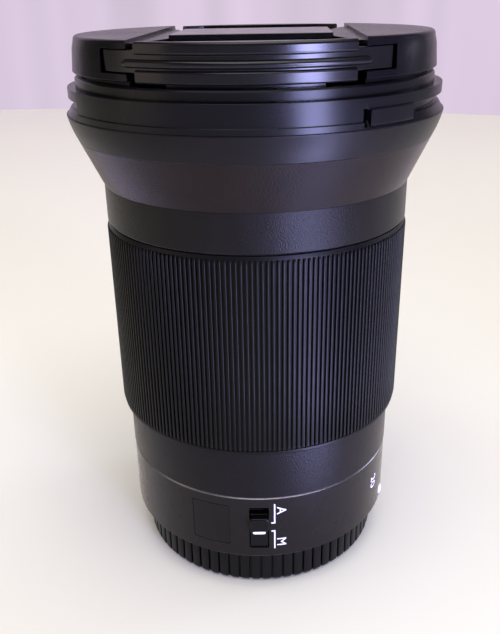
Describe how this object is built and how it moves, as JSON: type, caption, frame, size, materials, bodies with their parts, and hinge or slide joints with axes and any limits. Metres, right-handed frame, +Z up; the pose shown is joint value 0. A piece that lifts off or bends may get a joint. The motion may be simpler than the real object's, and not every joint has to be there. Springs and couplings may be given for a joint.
{
  "type": "wide-angle prime lens",
  "caption": "Wide-angle autofocus prime lens with a ribbed control ring, mode switch, bayonet mount, flared hood bayonet front and pinch-latch front and rear caps.",
  "frame": {"origin": "middle of the rear cap's foot, on the surface that the lens stands on", "axes": "+Z up the lens axis towards the front cap, -Y the marked side with the mode switch, +X to the right seen from there"},
  "size_m": [0.0842, 0.0842, 0.1285],
  "materials": {
    "chassis_metal": "black anodised",
    "barrel_coat": "fine stipple coat, satin",
    "band_coat": "fine stipple coat, matte",
    "badge_plate": "satin, bare",
    "grip_coat": "satin black",
    "hood_ring_plastic": "satin moulded",
    "filter_ring_metal": "black anodised",
    "trim_plastic": "matte",
    "mount_chrome": "turned",
    "gasket_rubber": "matte",
    "screw_steel": "satin",
    "contact_plastic": "matte",
    "contact_gold": "gold plated",
    "board_laminate": "solder mask",
    "cell_metal": "black anodised, matte",
    "coated_glass": "coated",
    "rod_steel": "ground",
    "motor_steel": "satin",
    "strip_foil": "foil",
    "switch_plastic": "satin",
    "cap_plastic": "fine moulded texture",
    "cap_plate_plastic": "satin, bare",
    "nut_brass": "machined",
    "blade_coat": "matte black coat"
  },
  "bodies": {
    "barrel": {"main_barrel": "chassis_metal", "rear_barrel": "barrel_coat", "badge_plate": "badge_plate", "plain_band": "band_coat", "front_barrel": "barrel_coat", "hood_ring": "hood_ring_plastic", "filter_ring": "filter_ring_metal", "front_trim": "trim_plastic", "lens_mount": "mount_chrome", "mount_gasket": "gasket_rubber", "mount_screws": "screw_steel", "contact_block": "contact_plastic", "contact_pins": "contact_gold", "rear_baffle": "trim_plastic", "circuit_board": "board_laminate", "switch_board": "board_laminate", "front_cell": "cell_metal", "front_retainer": "cell_metal", "front_cell_screws": "screw_steel", "front_element": "coated_glass", "second_element": "coated_glass", "third_element": "coated_glass", "front_doublet": "coated_glass", "fifth_element": "coated_glass", "iris_housing": "cell_metal", "iris_cover": "cell_metal", "rear_cell": "cell_metal", "rear_doublet": "coated_glass", "aspheric_element": "coated_glass", "rear_element": "coated_glass", "guide_rods": "rod_steel", "focus_motor": "motor_steel", "ring_sensor": "contact_plastic"},
    "control_ring": {"control_ring": "grip_coat", "encoder_strip": "strip_foil"},
    "switch": {"switch_knob": "switch_plastic", "switch_slider": "switch_plastic"},
    "rear_cap": {"rear_cap": "cap_plastic"},
    "focus_carriage": {"focus_carriage": "cell_metal", "lead_nut": "nut_brass", "focus_rear_element": "coated_glass", "focus_doublet": "coated_glass", "focus_front_element": "coated_glass"},
    "lead_screw": {"lead_screw": "rod_steel"},
    "iris_ring": {"iris_ring": "cell_metal"},
    "front_cap": {"cap_body": "cap_plastic", "cap_plate": "cap_plate_plastic"},
    "near_latch": {"near_latch": "cap_plastic", "near_springs": "rod_steel"},
    "far_latch": {"far_latch": "cap_plastic", "far_springs": "rod_steel"},
    "iris_blade_1": {"blade_1": "blade_coat"},
    "iris_blade_2": {"blade_2": "blade_coat"},
    "iris_blade_3": {"blade_3": "blade_coat"},
    "iris_blade_4": {"blade_4": "blade_coat"},
    "iris_blade_5": {"blade_5": "blade_coat"},
    "iris_blade_6": {"blade_6": "blade_coat"},
    "iris_blade_7": {"blade_7": "blade_coat"},
    "iris_blade_8": {"blade_8": "blade_coat"},
    "iris_blade_9": {"blade_9": "blade_coat"}
  },
  "joints": [
    {"name": "control_ring_turn", "type": "hinge", "parent": "barrel", "child": "control_ring", "pos_m": [0, 0, 0.0644], "axis": [0, 0, 1], "continuous": true},
    {"name": "mode_switch_slide", "type": "slide", "parent": "barrel", "child": "switch", "axis": [0, 0, 1], "range_m": [0, 0.0024]},
    {"name": "rear_cap_twist", "type": "hinge", "parent": "barrel", "child": "rear_cap", "pos_m": [0, 0, 0.005], "axis": [0, 0, 1], "range_deg": [0, 45]},
    {"name": "front_cap_lift", "type": "slide", "parent": "barrel", "child": "front_cap", "axis": [0, 0, 1], "range_m": [0, 0.03]},
    {"name": "near_latch_press", "type": "slide", "parent": "front_cap", "child": "near_latch", "axis": [0.0471, 0.9989, 0], "range_m": [0, 0.0035], "stiffness_N_per_m": 600, "deforming": ["near_springs"]},
    {"name": "far_latch_press", "type": "slide", "parent": "front_cap", "child": "far_latch", "axis": [-0.0471, -0.9989, 0], "range_m": [0, 0.0035], "stiffness_N_per_m": 600, "deforming": ["far_springs"]},
    {"name": "focus_travel", "type": "slide", "parent": "barrel", "child": "focus_carriage", "axis": [0, 0, 1], "range_m": [0, 0.004]},
    {"name": "lead_screw_turn", "type": "hinge", "parent": "barrel", "child": "lead_screw", "pos_m": [0, 0.0236, 0.04], "axis": [0, 0, 1], "range_deg": [0, 960]},
    {"name": "iris_ring_turn", "type": "hinge", "parent": "barrel", "child": "iris_ring", "pos_m": [0, 0, 0.0615], "axis": [0, 0, 1], "range_deg": [0, 20]},
    {"name": "iris_blade_1_turn", "type": "hinge", "parent": "barrel", "child": "iris_blade_1", "pos_m": [0.02, 0, 0.0585], "axis": [0, 0, 1], "range_deg": [0, 31.4]},
    {"name": "iris_blade_2_turn", "type": "hinge", "parent": "barrel", "child": "iris_blade_2", "pos_m": [0.01532, 0.01286, 0.0585], "axis": [0, 0, 1], "range_deg": [0, 31.4]},
    {"name": "iris_blade_3_turn", "type": "hinge", "parent": "barrel", "child": "iris_blade_3", "pos_m": [0.00347, 0.0197, 0.0585], "axis": [0, 0, 1], "range_deg": [0, 31.4]},
    {"name": "iris_blade_4_turn", "type": "hinge", "parent": "barrel", "child": "iris_blade_4", "pos_m": [-0.01, 0.01732, 0.0585], "axis": [0, 0, 1], "range_deg": [0, 31.4]},
    {"name": "iris_blade_5_turn", "type": "hinge", "parent": "barrel", "child": "iris_blade_5", "pos_m": [-0.01879, 0.00684, 0.0585], "axis": [0, 0, 1], "range_deg": [0, 31.4]},
    {"name": "iris_blade_6_turn", "type": "hinge", "parent": "barrel", "child": "iris_blade_6", "pos_m": [-0.01879, -0.00684, 0.0585], "axis": [0, 0, 1], "range_deg": [0, 31.4]},
    {"name": "iris_blade_7_turn", "type": "hinge", "parent": "barrel", "child": "iris_blade_7", "pos_m": [-0.01, -0.01732, 0.0585], "axis": [0, 0, 1], "range_deg": [0, 31.4]},
    {"name": "iris_blade_8_turn", "type": "hinge", "parent": "barrel", "child": "iris_blade_8", "pos_m": [0.00347, -0.0197, 0.0585], "axis": [0, 0, 1], "range_deg": [0, 31.4]},
    {"name": "iris_blade_9_turn", "type": "hinge", "parent": "barrel", "child": "iris_blade_9", "pos_m": [0.01532, -0.01286, 0.0585], "axis": [0, 0, 1], "range_deg": [0, 31.4]}
  ],
  "couplings": [
    {"joint": "lead_screw_turn", "follows": "focus_travel", "rad_per_m": 4188.8},
    {"joint": "iris_blade_1_turn", "follows": "iris_ring_turn", "ratio": 1.57},
    {"joint": "iris_blade_2_turn", "follows": "iris_ring_turn", "ratio": 1.57},
    {"joint": "iris_blade_3_turn", "follows": "iris_ring_turn", "ratio": 1.57},
    {"joint": "iris_blade_4_turn", "follows": "iris_ring_turn", "ratio": 1.57},
    {"joint": "iris_blade_5_turn", "follows": "iris_ring_turn", "ratio": 1.57},
    {"joint": "iris_blade_6_turn", "follows": "iris_ring_turn", "ratio": 1.57},
    {"joint": "iris_blade_7_turn", "follows": "iris_ring_turn", "ratio": 1.57},
    {"joint": "iris_blade_8_turn", "follows": "iris_ring_turn", "ratio": 1.57},
    {"joint": "iris_blade_9_turn", "follows": "iris_ring_turn", "ratio": 1.57}
  ]
}
